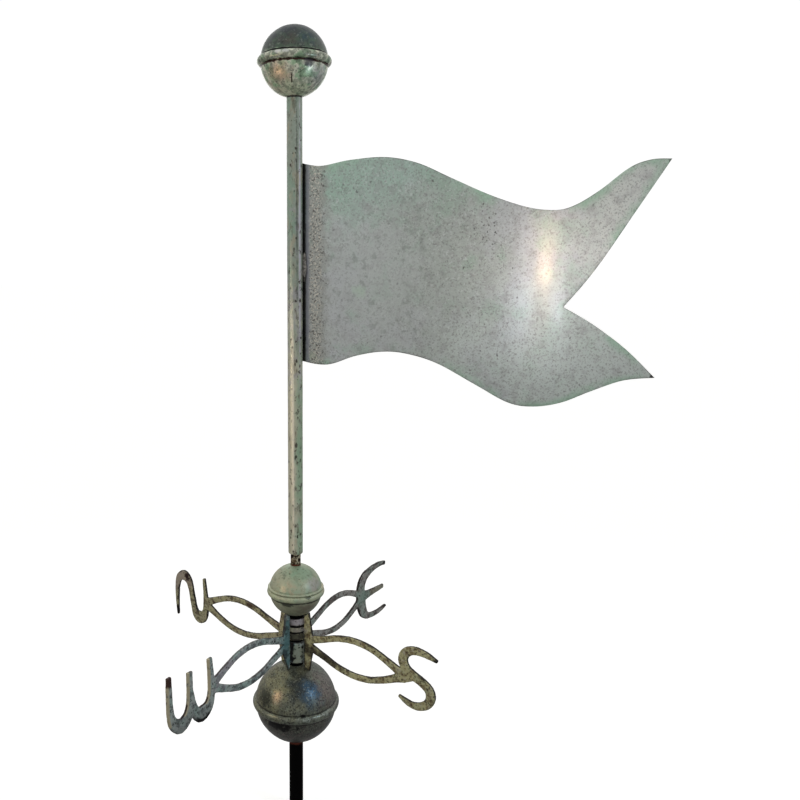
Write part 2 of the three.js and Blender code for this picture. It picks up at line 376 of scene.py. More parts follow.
makeCamera()
makeSky()
makeLamps()
makeFloor()
scene.view_settings.view_transform = "Standard"
print("camera, lamps and floor set")


# Steel rod with its slimmer spindle

rod = {
    "radius": 7.94,
    "spindleRadius": 5.55,
    "shoulder": 244.6,
    "top": 782,
    "chamfer": 1,
    "steps": 72,
    "sharp": 30,  # edges over this angle stay crisp
}
rodLook = {
    "ground": (3, 3, 3),
    "layers": [
        {"colour": (12, 11, 10), "cloud": (9, 0.5, 0.75), "amount": 0.6},
        {"colour": (84, 44, 34), "at": (0, 0, 93), "size": (60, 60, 5), "ragged": 0.5, "soft": 0.35},
        {"colour": (92, 78, 60), "at": (0, 0, 312), "size": (60, 60, 16), "ragged": 0.15},
        {"colour": (190, 182, 156), "at": (0, 0, 308), "size": (60, 60, 9), "cloud": (4, 0.45, 0.6)},
        {"colour": (30, 20, 16), "at": (0, 0, 310), "size": (60, 60, 15), "cloud": (5, 0.46, 0.56)},
        {"colour": (92, 40, 26), "at": (0, 0, 301), "size": (60, 60, 2), "ragged": 0.3, "amount": 0.7},
    ],
    "metallic": 0.0, "specular": 0.03, "roughness": (0.45, 0.65), "glossSize": 6, "lacquer": (0, 0.3),
    "grain": 0.7, "bump": 0.25, "bumpDepth": 0.3,
}


def makeRod():
    radius, slim, chamfer, top = rod["radius"], rod["spindleRadius"], rod["chamfer"], rod["top"]
    profile = [(0, 0), (radius - chamfer, 0), (radius, chamfer), (radius, rod["shoulder"]),
               (slim, rod["shoulder"]), (slim, top - chamfer), (slim - chamfer, top), (0, top)]
    bm = turnProfile(profile, rod["steps"])
    finishPiece("supportRod", bm, "stand", "black_steel", ["support_rod"],
                layeredColours("rodBlack", rodLook), sharpAngle=rod["sharp"])


# Spun copper balls: two cups pressed together, with a rolled band round the joint

ballShape = {
    "capSteps": 44,
    "beadSteps": 12,
    "lipReach": 2.5,  # how far from the joint the lower cup's lip is uneven
    "lipWave": 9,
    "sharp": 35,
}
largeBall = {
    "height": 140, "radius": 45.8, "lowHole": 8.24, "highHole": 8.24, "steps": 160,
    "beads": [(-4.8, 4.8, 49)],  # from and to height, and radius, of each roll of the band
    "grooves": (0.5, 0.5, 0.4),  # widths below and above the band, and depth
    "wear": (0.35, 26), "ragged": 0.25, "seed": 1,
}
smallBall = {
    "height": 273, "radius": 29.2, "lowHole": 7.94, "highHole": 5.85, "steps": 144,
    "beads": [(-5, 2.2, 31.8), (2.2, 5, 30.9)],
    "grooves": (0.8, 0.6, 0.2),
    "wear": (0.2, 22), "ragged": 0.3, "seed": 2,
}
topBall = {
    "height": 824, "radius": 33.8, "lowHole": 7.94, "highHole": 0, "steps": 144,
    "beads": [(-4.2, 4.2, 37.2)],
    "grooves": (0.9, 0.5, 0.7),
    "wear": (0.3, 20), "ragged": 0.6, "seed": 4,
}


def ballProfile(ball):
    radius = ball["radius"]
    lowGroove, highGroove, grooveDeep = ball["grooves"]
    capSteps, beadSteps = ballShape["capSteps"], ballShape["beadSteps"]
    points = []

    def skin(height):
        return math.sqrt(radius ** 2 - height ** 2)

    def cap(start, end):
        for i in range(capSteps + 1):
            angle = start + (end - start) * i / capSteps
            points.append((radius * math.cos(angle), radius * math.sin(angle)))

    lowEdge = ball["beads"][0][0]
    highEdge = ball["beads"][-1][1]
    cap(-math.acos(ball["lowHole"] / radius), math.asin((lowEdge - lowGroove) / radius))
    for low, high, reach in ball["beads"]:
        middle, half = (low + high) / 2, (high - low) / 2
        for i in range(beadSteps + 1):
            angle = math.pi * (i / beadSteps - 0.5)
            seat = skin(low if angle < 0 else high) - grooveDeep
            points.append((seat + (reach - seat) * math.cos(angle), middle + half * math.sin(angle)))
    cap(math.asin((highEdge + highGroove) / radius), math.acos(ball["highHole"] / radius))
    if ball["highHole"]:
        points.append((ball["highHole"], points[0][1]))
    else:
        points.insert(0, (0, points[0][1]))
    return [(r, height + ball["height"]) for r, height in points]


def makeBall(name, ball, body, node, look):
    bm = turnProfile(ballProfile(ball), ball["steps"], closed=bool(ball["highHole"]))
    wearSkin(bm, *ball["wear"], ball["seed"])
    seam = ball["beads"][0][0]
    for vert in bm.verts:  # the lower cup's lip runs unevenly under the band
        away = abs(vert.co.z / mm - ball["height"] - seam) / ballShape["lipReach"]
        if away < 1:
            wave = noise.noise(vert.co / (ballShape["lipWave"] * mm) + Vector((ball["seed"], 0, 0)))
            vert.co.z += wave * ball["ragged"] * mm * (1 - away)
    finishPiece(name, bm, body, "ball_copper", [node], layeredColours(name + "Patina", look),
                sharpAngle=ballShape["sharp"])


largeBallLook = {
    "ground": (101, 105, 93),
    "layers": [
        {"colour": (132, 130, 98), "at": (-33, 12, 168), "size": (28, 32, 32), "amount": 0.8, "soft": 0.6,
         "raggedSize": 12},
        {"colour": (122, 110, 106), "at": (8, -40, 162), "size": (20, 22, 26), "amount": 0.7, "soft": 0.6,
         "raggedSize": 9},
        {"colour": (70, 73, 64), "cloud": (12, 0.46, 0.62), "amount": 0.5},
        {"colour": (134, 144, 126), "cloud": (5, 0.54, 0.66), "amount": 0.5},
        {"colour": (28, 36, 38), "at": (-24, -22, 172), "size": (12, 12, 18), "amount": 0.85, "soft": 0.7,
         "raggedSize": 7},
        {"colour": (54, 84, 106), "at": (-15, -32, 165), "size": (9, 10, 21), "turn": 30, "amount": 0.85,
         "soft": 0.7, "raggedSize": 7},
        {"colour": (70, 69, 66), "at": (0, 0, 106), "size": (90, 90, 29), "amount": 0.75,
         "raggedSize": 12, "soft": 0.4},
        {"colour": (104, 96, 90), "at": (0, 0, 112), "size": (90, 90, 24), "cloud": (6, 0.5, 0.6),
         "amount": 0.7},
        {"colour": (38, 42, 28), "at": (-41, 12, 156), "size": (12, 10, 8), "amount": 0.85, "soft": 0.6,
         "raggedSize": 5},
        {"colour": (140, 150, 132), "at": (0, 0, 141), "size": (150, 150, 4.2), "cloud": (9, 0.4, 0.6),
         "amount": 0.4, "ragged": 0.4, "raggedSize": 9},
        # Painted highlight: a pale sheen on the right half of the band
        {"colour": (172, 184, 176), "at": (-16, -44, 142.5), "size": (20, 12, 3), "turn": -20,
         "cloud": (6, 0.45, 0.62), "amount": 0.4},
        # Painted highlight tint: a salmon patch under the warm lamp's highlight
        {"colour": (176, 150, 124), "at": (-40, -5, 162), "size": (5, 6, 7), "amount": 0.45, "soft": 0.7,
         "raggedSize": 6},
        {"colour": (82, 92, 98), "at": (6, -40, 118), "size": (22, 14, 14), "cloud": (7, 0.44, 0.58),
         "amount": 0.65},
        {"colour": (20, 20, 19), "specks": (1.7, 0.55, 0.55), "cloud": (13, 0.4, 0.58), "amount": 0.75},
        {"colour": (24, 23, 22), "cloud": (1.9, 0.52, 0.62), "amount": 0.7},
        {"colour": (164, 168, 154), "cloud": (2.0, 0.57, 0.67), "amount": 0.45},
        {"colour": (7, 5, 5), "at": (-43, -12, 131), "size": (14, 21, 6), "turn": -14,
         "cloud": (8, 0.32, 0.44), "raggedSize": 5},
        {"colour": (6, 5, 5), "at": (-32.6, -33.8, 145.7), "size": (3.6, 3.4, 1.8), "turn": -43,
         "ragged": 0.2, "raggedSize": 3},
        {"colour": (20, 14, 12), "at": (0, 0, 134.8), "size": (150, 150, 1), "ragged": 0.5,
         "raggedSize": 6, "amount": 0.9},
        {"colour": (30, 28, 24), "at": (0, 0, 145.2), "size": (150, 150, 0.6), "ragged": 0.6,
         "raggedSize": 7, "amount": 0.6},
    ],
    "metallic": 0.5, "specular": 0.3, "roughness": (0.28, 0.4), "glossSize": 9, "lacquer": (0.12, 0.2),
    "grain": 0.8, "bump": 0.3, "bumpDepth": 0.35, "seed": 40,
}
smallBallLook = {
    "ground": (166, 170, 144),
    "layers": [
        {"colour": (144, 168, 142), "cloud": (15, 0.47, 0.6), "amount": 0.65},
        {"colour": (178, 168, 140), "cloud": (10, 0.52, 0.66), "amount": 0.75},
        {"colour": (128, 162, 134), "at": (-6, -12, 297), "size": (16, 16, 9), "amount": 0.6,
         "soft": 0.6},
        {"colour": (160, 156, 152), "at": (-2, -27, 284), "size": (9, 9, 9), "amount": 0.7, "soft": 0.6},
        {"colour": (112, 120, 100), "cloud": (8, 0.54, 0.66), "amount": 0.45},
        {"colour": (184, 194, 158), "at": (0, 0, 272), "size": (150, 150, 5.4), "cloud": (12, 0.36, 0.56),
         "amount": 0.65, "ragged": 0.3, "raggedSize": 9},
        {"colour": (124, 128, 106), "at": (0, 0, 248), "size": (60, 60, 19), "amount": 0.75,
         "raggedSize": 12, "soft": 0.4},
        {"colour": (96, 82, 70), "at": (-12, -24, 260), "size": (11, 11, 7), "amount": 0.65, "soft": 0.6,
         "raggedSize": 6},
        {"colour": (50, 54, 46), "at": (-27, -8.5, 265.4), "size": (5, 7, 2.6), "turn": 20, "amount": 0.9,
         "raggedSize": 6},
        {"colour": (78, 92, 70), "specks": (4.5, 0.38, 0.35), "at": (-10, -6, 297), "size": (24, 24, 7),
         "amount": 0.7},
        {"colour": (74, 80, 66), "at": (-19.6, 1.1, 294.6), "size": (3, 2.6, 1.3), "amount": 0.5,
         "soft": 0.5, "raggedSize": 3},
        {"colour": (44, 48, 40), "at": (-14.2, -27.5, 274.2), "size": (3, 3, 1.6), "amount": 0.8,
         "raggedSize": 3},
        {"colour": (126, 130, 108), "cloud": (2.2, 0.5, 0.66), "amount": 0.5},
        {"colour": (70, 70, 58), "cloud": (2.6, 0.6, 0.68), "amount": 0.6},
        {"colour": (40, 40, 32), "at": (0, 0, 267.2), "size": (60, 60, 1.3), "ragged": 0.45,
         "raggedSize": 6, "amount": 0.9},
        {"colour": (96, 106, 84), "at": (0, 0, 275.2), "size": (60, 60, 0.6), "ragged": 0.5,
         "raggedSize": 7, "amount": 0.3},
    ],
    "metallic": 0.3, "specular": 0.35, "roughness": (0.38, 0.52), "glossSize": 9, "lacquer": (0.1, 0.3),
    "grain": 0.9, "bump": 0.2, "bumpDepth": 0.3, "seed": 60,
}
topBallLook = {
    # The pale ground shows on the lower cup: partly its patina, partly painted light standing in for light
    # from below
    "ground": (238, 242, 218),
    "layers": [
        {"colour": (168, 206, 164), "cloud": (10, 0.46, 0.57), "amount": 0.85},
        {"colour": (222, 190, 164), "at": (-30, -4, 808), "size": (10, 10, 9), "amount": 0.7,
         "soft": 0.6},
        {"colour": (194, 178, 156), "cloud": (8, 0.52, 0.66), "amount": 0.6},
        {"colour": (172, 170, 178), "at": (2, -30, 806), "size": (12, 9, 12), "amount": 0.6, "soft": 0.6,
         "raggedSize": 6},
        {"colour": (224, 228, 196), "at": (-15, -10, 794), "size": (18, 18, 6), "amount": 0.7,
         "soft": 0.6, "raggedSize": 6},
        {"colour": (70, 80, 76), "at": (0, 0, 853), "size": (90, 90, 25.8), "amount": 0.96,
         "ragged": 0.06, "raggedSize": 9, "soft": 0.05},
        {"colour": (26, 38, 48), "at": (0, 0, 866), "size": (90, 90, 22), "amount": 0.85, "ragged": 0.3,
         "soft": 0.5},
        {"colour": (9, 11, 16), "at": (10, -15, 852), "size": (20, 20, 9), "amount": 0.9, "soft": 0.6,
         "raggedSize": 6},
        {"colour": (88, 78, 66), "at": (-27, -15, 838), "size": (9, 9, 7), "amount": 0.5, "soft": 0.6,
         "raggedSize": 5},
        {"colour": (54, 86, 92), "at": (-13, -26, 840), "size": (8, 8, 7), "amount": 0.6, "soft": 0.6,
         "raggedSize": 5},
        {"colour": (124, 128, 118), "at": (0, 0, 824), "size": (90, 90, 4.4), "cloud": (6, 0.42, 0.56),
         "amount": 0.75, "ragged": 0.2},
        {"colour": (66, 74, 64), "cloud": (5, 0.52, 0.64), "amount": 0.55},
        {"colour": (92, 114, 92), "cloud": (7, 0.47, 0.58), "amount": 0.5},
        {"colour": (40, 42, 38), "specks": (3, 0.38, 0.3), "cloud": (13, 0.42, 0.6), "amount": 0.55},
        {"colour": (44, 46, 40), "cloud": (2.2, 0.56, 0.64), "amount": 0.55},
        {"colour": (150, 158, 148), "cloud": (3, 0.56, 0.66), "amount": 0.45},
        # Painted highlights: two white glints on the band's left
        {"colour": (240, 240, 236), "at": (-35.6, -6.8, 825.4), "size": (3, 3.4, 1.7), "amount": 0.75,
         "raggedSize": 3},
        {"colour": (226, 228, 224), "at": (-33, -15, 825.6), "size": (3, 3.4, 1.7), "amount": 0.7,
         "raggedSize": 3},
        {"colour": (56, 28, 20), "at": (0, 0, 818.8), "size": (90, 90, 1.2), "ragged": 0.6,
         "raggedSize": 5},
        {"colour": (66, 62, 70), "at": (-15.4, -29.6, 816.2), "size": (5.4, 4.4, 4.4), "amount": 0.85,
         "raggedSize": 5},
        {"colour": (24, 24, 24), "at": (0, 0, 828.4), "size": (90, 90, 1.0), "ragged": 0.35,
         "raggedSize": 5},
        {"colour": (48, 40, 31), "at": (-22.8, -14.2, 803.4), "size": (0.65, 6, 4.4), "turn": 128,
         "ragged": 0.7, "raggedSize": 3},
        {"colour": (38, 50, 60), "at": (0, 0, 866), "size": (90, 90, 25), "amount": 0.55, "ragged": 0.4,
         "raggedSize": 12, "soft": 0.5},
    ],
    "metallic": 0.4, "specular": 0.3, "roughness": (0.26, 0.4), "glossSize": 8, "lacquer": (0.15, 0.2),
    "grain": 0.8, "bump": 0.25, "bumpDepth": 0.35, "seed": 80,
}


# Compass arms: the casting's soft edges and skin come from a fine remesh of its solid

castArms = {
    "voxel": 0.6,
    "weld": 0.001,  # mm: the solid's points nearer than this are one
    "softening": (2, 0.5),  # rounds, and share of the way to the neighbours' middle
    "wear": (0.2, 9),
    "fineWear": (0.1, 2.4), "fineSeed": 5,
    "hubReach": 14,  # inside this radius the knuckles' flat ends count as sides
    "letterReach": 132,  # past this radius the casting is its letter
    "sideFrom": 0.6,  # how squarely a face has to look sideways to count as a side
    "sideTilt": -0.25,  # sides that look further down than this aren't a letter's outer ones
    "letterWrap": 3,  # how far a letter's outer side shows on its faces
}
# Each casting's way out and tones; its own marks lie under the dark sides, the last ones over them
# The face tones lean tan on the north and south castings and greyer, bluer on the west and east: partly
# patina, partly painted warm and cool lamp light
castTones = {
    "armEast": {
        "node": "arm_east", "out": (1, 0, 0), "skinSeed": 11,
        "face": (156, 155, 149), "bloom": (146, 162, 152), "deep": (98, 84, 80), "pale": (176, 173, 168),
        "stain": (70, 54, 52), "side": (26, 15, 13), "sideShare": 0.95, "seed": 100,
        "own": [
            {"colour": (124, 156, 140), "at": (136, 0, 219), "size": (14, 9, 12), "amount": 0.55,
             "soft": 0.6},
            {"colour": (140, 136, 110), "at": (172, 0, 218), "size": (16, 9, 8), "amount": 0.6,
             "soft": 0.5},
            # Painted highlight: the pale top of the east knuckle
            {"colour": (170, 162, 166), "at": (-7, -7, 240), "size": (11, 11, 5), "amount": 0.7},
            {"colour": (14, 9, 8), "at": (191, 0, 248), "size": (6, 12, 6), "ragged": 0.2},
            {"colour": (14, 9, 8), "at": (195, 0, 188.4), "size": (7, 12, 6), "ragged": 0.2},
        ],
    },
    "armNorth": {
        "node": "arm_north", "out": (0, 1, 0), "skinSeed": 12,
        "face": (170, 166, 132), "bloom": (176, 175, 132), "deep": (98, 82, 62), "pale": (188, 179, 162),
        "stain": (72, 52, 38), "side": (20, 12, 10), "sideShare": 0.95, "seed": 110,
        "own": [
            {"colour": (172, 158, 146), "at": (0, 180, 244), "size": (9, 20, 18), "amount": 0.75,
             "soft": 0.5},
            {"colour": (66, 46, 34), "at": (0, 54, 236), "size": (8, 36, 7), "cloud": (7, 0.42, 0.54),
             "amount": 0.85},
            {"colour": (44, 22, 18), "at": (0, 168, 249), "size": (9, 7, 6), "cloud": (5, 0.38, 0.52)},
            {"colour": (20, 12, 10), "at": (0, 187, 199), "size": (9, 6, 8), "soft": 0.5},
            # Painted shade: the recessed north knuckle darkened
            {"colour": (40, 40, 36), "at": (-7, -7, 220), "size": (12, 12, 4.6), "amount": 0.85,
             "soft": 0.2},
        ],
    },
    "armWest": {
        "node": "arm_west", "out": (-1, 0, 0), "skinSeed": 13,
        "face": (162, 172, 168), "bloom": (146, 172, 164), "deep": (96, 102, 104), "pale": (180, 180, 178),
        "stain": (80, 86, 88), "side": (40, 24, 22), "sideShare": 0.6, "seed": 120,
        "own": [
            {"colour": (164, 158, 166), "at": (-110, 0, 226), "size": (26, 9, 16),
             "cloud": (9, 0.42, 0.58), "amount": 0.7, "soft": 0.6},
            {"colour": (76, 116, 118), "at": (-19, 0, 214), "size": (10, 8, 36), "amount": 0.8,
             "soft": 0.5},
            {"colour": (34, 46, 50), "at": (-20, 0, 212), "size": (9, 8, 34), "cloud": (8, 0.5, 0.6),
             "amount": 0.75},
            {"colour": (138, 144, 124), "at": (-8, -8, 201), "size": (9, 9, 13), "amount": 0.8},
            {"colour": (12, 11, 10), "at": (-8, -8, 202), "size": (11, 11, 13), "cloud": (6, 0.53, 0.57)},
            {"colour": (18, 22, 24), "at": (-38, 0, 226), "size": (20, 8, 7), "specks": (3.4, 0.5, 0.5)},
            {"colour": (100, 104, 102), "at": (-170, 0, 184), "size": (38, 9, 18), "amount": 0.55,
             "soft": 0.6},
            # Painted shadow: a black line in the gap along the lug's edge by the knuckles
            {"colour": (9, 9, 9), "at": (-11.8, -3.4, 214), "size": (1.7, 4, 27), "ragged": 0.5,
             "raggedSize": 6},
        ],
        "last": [
            {"colour": (182, 174, 146), "mark": ("letterSide", 0.2, 0.6), "cloud": (8, 0.36, 0.46),
             "amount": 0.9},
            {"colour": (30, 8, 8), "mark": ("rim", 0.2, 0.6), "at": (-165, 0, 205), "size": (25, 9, 9),
             "amount": 0.95},
            {"colour": (10, 8, 8), "mark": ("edge", 4.8, 3.2), "at": (-154, 0, 183), "size": (20, 9, 12),
             "ragged": 0.2},
            {"colour": (52, 18, 15), "at": (-195, 0, 246), "size": (7, 7, 6.5), "amount": 0.95},
        ],
    },
    "armSouth": {
        "node": "arm_south", "out": (0, -1, 0), "skinSeed": 14,
        "face": (188, 184, 140), "bloom": (176, 178, 140), "deep": (112, 92, 62), "pale": (188, 184, 168),
        "stain": (84, 66, 42), "side": (24, 16, 12), "sideShare": 0.95, "seed": 130,
        "own": [
            {"colour": (26, 20, 16), "at": (0, -42, 204), "size": (9, 27, 8), "amount": 0.85,
             "soft": 0.5},
            {"colour": (60, 50, 38), "at": (0, -18, 206), "size": (8, 9, 30), "cloud": (8, 0.46, 0.58),
             "amount": 0.8},
            # Painted shadow: a black line in the gap between the knuckles and the spine
            {"colour": (9, 8, 8), "at": (-3, -11.6, 206), "size": (5, 2.4, 32), "ragged": 0.6,
             "raggedSize": 6},
            {"colour": (150, 147, 142), "at": (-7, -7, 229), "size": (11, 11, 3.6), "amount": 0.6},
            {"colour": (22, 26, 24), "at": (0, -176, 239), "size": (9, 5, 4), "amount": 0.9,
             "ragged": 0.2},
        ],
    },
}


def castLook(tones):
    layers = [
        {"colour": tones["bloom"], "cloud": (12, 0.46, 0.6), "amount": 0.75},
        {"colour": tones["deep"], "cloud": (6, 0.5, 0.6), "amount": 0.75},
        {"colour": tones["pale"], "cloud": (5, 0.55, 0.66), "amount": 0.6},
        {"colour": tones["stain"], "cloud": (10, 0.55, 0.63), "amount": 0.75},
        {"colour": (40, 30, 24), "cloud": (2.4, 0.54, 0.63), "amount": 0.75},
        *tones["own"],
        # Dark sides and the rims round them: partly dark patina, partly painted shade on the sides
        {"colour": tones["side"], "mark": ("edge", 1.8, 0.2), "ragged": 1.3, "raggedSize": 11,
         "cloud": (13, 0.44, 0.56), "amount": 0.9 * tones["sideShare"]},
        {"colour": tones["side"], "mark": ("rim", 0.3, 0.7), "ragged": 0.2, "raggedSize": 6,
         "amount": tones["sideShare"]},
        {"colour": (30, 22, 18), "specks": (3, 0.45, 0.3), "amount": 0.65},
        *tones.get("last", []),
    ]
    return {
        "ground": tones["face"], "layers": layers, "seed": tones["seed"],
        "metallic": 0.3, "specular": 0.3, "roughness": (0.42, 0.6), "glossSize": 6, "lacquer": (0.08, 0.3),
        "grain": 0.8, "bump": 0.35, "bumpDepth": 0.4,
    }


def nearestOf(spots):
    tree = kdtree.KDTree(len(spots))
    for i, spot in enumerate(spots):
        tree.insert(spot, i)
    tree.balance()
    return tree


# How much each point belongs to a side, to a letter's outer side, and its way in mm to the nearest side
def markArm(bm, outward):
    bm.normal_update()
    across = outward.cross(Vector((0, 0, 1)))
    rim, letterSide, edge = (bm.verts.layers.float.new(name) for name in ("rim", "letterSide", "edge"))
    sides, outerSides = [], []
    for vert in bm.verts:
        reach = math.hypot(vert.co.x, vert.co.y) / mm
        onHub = reach < castArms["hubReach"]
        vert[rim] = abs(vert.normal.z) if onHub else 1 - abs(vert.normal.dot(across))
        if vert[rim] > castArms["sideFrom"]:
            sides.append(vert.co.copy())
        facing = vert.normal.dot(outward) > castArms["sideFrom"] and vert.normal.z > castArms["sideTilt"]
        if reach > castArms["letterReach"] and facing:
            outerSides.append(vert.co.copy())
    toSide, toOuter = nearestOf(sides), nearestOf(outerSides)
    for vert in bm.verts:
        vert[edge] = toSide.find(vert.co)[2] / mm
        vert[letterSide] = 1 - toOuter.find(vert.co)[2] / mm / castArms["letterWrap"]


def makeArm(name, tones):
    bm = bmesh.new()
    bm.from_mesh(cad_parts[tones["node"]].data)
    bmesh.ops.remove_doubles(bm, verts=bm.verts, dist=castArms["weld"] * mm)
    mesh = bpy.data.meshes.new(name + "Rough")
    bm.to_mesh(mesh)
    bm.free()
    rough = bpy.data.objects.new(name + "Rough", mesh)
    scene.collection.objects.link(rough)
    remesh = rough.modifiers.new("skin", "REMESH")
    remesh.mode = "VOXEL"
    remesh.voxel_size = castArms["voxel"] * mm
    bm = bmesh.new()
    bm.from_mesh(settledMesh(rough))
    bpy.data.objects.remove(rough)
    rounds, share = castArms["softening"]
    for _ in range(rounds):
        bmesh.ops.smooth_vert(bm, verts=bm.verts, factor=share,
                              use_axis_x=True, use_axis_y=True, use_axis_z=True)
    wearSkin(bm, *castArms["wear"], tones["skinSeed"])
    wearSkin(bm, *castArms["fineWear"], tones["skinSeed"] + castArms["fineSeed"])
    markArm(bm, Vector(tones["out"]))
    finishPiece(name, bm, "stand", "cast_bronze", [tones["node"]],
                layeredColours(name + "Patina", castLook(tones)), sharpAngle=180)


# Tube of the vane

tube = {
    "bottom": 315, "top": 790.8, "radius": 7.94, "bore": 6.35,
    "rimRound": 2, "rimInset": 1.3, "rimSteps": 6, "steps": 96, "rings": 60,
    "wear": (0.12, 30), "seed": 3, "sharp": 40,
}
tubeLook = {
    "ground": (154, 166, 152),
    "layers": [
        {"colour": (214, 216, 192), "at": (0, 0, 400), "size": (60, 60, 170), "amount": 0.85, "soft": 0.5,
         "raggedSize": 30},
        {"colour": (144, 172, 152), "cloud": (14, 0.47, 0.58), "stretch": 3, "amount": 0.65},
        # Tan wash down the side facing the warm lamp: partly the tube's patina, partly painted warm light
        {"colour": (206, 196, 172), "at": (-8, 2, 420), "size": (5.5, 7, 130), "amount": 0.5, "soft": 0.5,
         "raggedSize": 14},
        {"colour": (150, 186, 152), "at": (1, -8, 390), "size": (7, 5, 120), "amount": 0.75, "soft": 0.5,
         "raggedSize": 14},
        {"colour": (172, 168, 176), "at": (0, 0, 600), "size": (30, 30, 100), "cloud": (12, 0.46, 0.6),
         "amount": 0.6},
        {"colour": (180, 168, 142), "cloud": (9, 0.53, 0.66), "stretch": 3, "amount": 0.6},
        {"colour": (100, 90, 76), "cloud": (4, 0.54, 0.64), "stretch": 3, "amount": 0.6},
        # Painted highlight: a cream streak where the warm lamp's glint runs down the tube's left side
        {"colour": (255, 246, 222), "at": (-7.4, -2.6, 450), "size": (2.2, 1.2, 135), "turn": 19,
         "amount": 0.95, "ragged": 0.45, "raggedSize": 9, "soft": 0.5},
        # Painted highlight: a lavender-white streak down the tube's side towards the flag
        {"colour": (210, 210, 220), "at": (-1.6, -7.7, 640), "size": (1.1, 2, 130), "turn": -12,
         "amount": 0.85, "ragged": 0.45, "raggedSize": 9, "soft": 0.5},
        {"colour": (46, 50, 44), "at": (-4.6, -6.4, 690), "size": (0.9, 2, 110), "turn": -36,
         "amount": 0.6, "ragged": 0.6, "raggedSize": 7, "soft": 0.5},
        {"colour": (44, 34, 28), "specks": (5, 0.34, 0.36), "stretch": 1.6, "cloud": (20, 0.4, 0.58),
         "amount": 0.9},
        {"colour": (56, 44, 36), "cloud": (3, 0.58, 0.65), "stretch": 2, "amount": 0.85},
        {"colour": (196, 196, 186), "cloud": (2.4, 0.54, 0.68), "amount": 0.4},
        {"colour": (30, 24, 20), "at": (0, 0, 791), "size": (60, 60, 1.4), "ragged": 0.3},
    ],
    "metallic": 0.4, "specular": 0.3, "roughness": (0.28, 0.4), "glossSize": 9, "lacquer": (0.2, 0.18),
    "grain": 0.8, "bump": 0.25, "bumpDepth": 0.3, "seed": 140,
}


def makeTube():
    profile = [(tube["bore"], tube["bottom"])]
    for i in range(tube["rimSteps"] + 1):
        angle = math.pi / 2 * i / tube["rimSteps"]
        profile.append((tube["radius"] - tube["rimInset"] * (1 - math.sin(angle)),
                        tube["bottom"] + tube["rimRound"] * (1 - math.cos(angle))))
    low = tube["bottom"] + tube["rimRound"]
    for i in range(1, tube["rings"] + 1):
        profile.append((tube["radius"], low + (tube["top"] - low) * i / tube["rings"]))
    profile.append((tube["bore"], tube["top"]))
    bm = turnProfile(profile, tube["steps"], closed=True)
    wearSkin(bm, *tube["wear"], tube["seed"])
    finishPiece("vaneTube", bm, "vane", "sheet_copper", ["vane_tube"],
                layeredColours("tubePatina", tubeLook), sharpAngle=tube["sharp"])


# Flag: x runs out from the tube, z is the height above the compass arms' middle

flag = {
    "heading": -53, "base": 215, "thick": 1.6, "cell": 3.4, "sharp": 60,
    "edgeRound": 0.5, "edgeSegments": 2, "edgeAngle": 50,
    "outlineSteps": 9, "edgeSamples": 4, "planSteps": 400,
    # The sheet's bends from above: way out, and way to the side
    "plan": [(7, 6.4), (12, 3.2), (20, 1.2), (34, 1.6), (95, 6), (175, 0), (255, -6.5),
             (320, -2.5), (386, 4)],
    "top": [(6, 513.6), (26, 510), (56, 516), (92, 519), (125, 513), (160, 497.5), (200, 480), (235, 468.5),
            (262, 465.4), (282, 469.5), (308, 484.5), (338, 507), (360, 515.2), (382, 516.4)],
    "upperTail": [(382, 516.4), (346, 462), (308, 405), (277, 368)],
    "lowerTail": [(277, 368), (308, 351), (346, 324.5), (381, 293)],
    "bottom": [(381, 293), (346, 290.6), (310, 279), (280, 268), (250, 264), (224, 268.4), (190, 287),
               (150, 309), (118, 319), (92, 321.2), (64, 317), (34, 308.2), (6, 312)],
    "dents": (0.35, 55), "dentsFrom": 25, "dentsFull": 85,
}
solder = {"at": (9.6, 1.4, 410), "half": (2.4, 2.4, 14), "lumps": (0.25, 4), "fineness": 4}


def flagTurn():
    return Matrix.Rotation(math.radians(flag["heading"]), 3, "Z")


# Where a patch lies on the flag: its way out, its height, and its half sizes along, through and up
def onFlag(out, height, size):
    place = flagTurn() @ Vector((out, 0, 0))
    return {"at": (place.x, place.y, height + flag["base"]), "size": size, "turn": flag["heading"]}


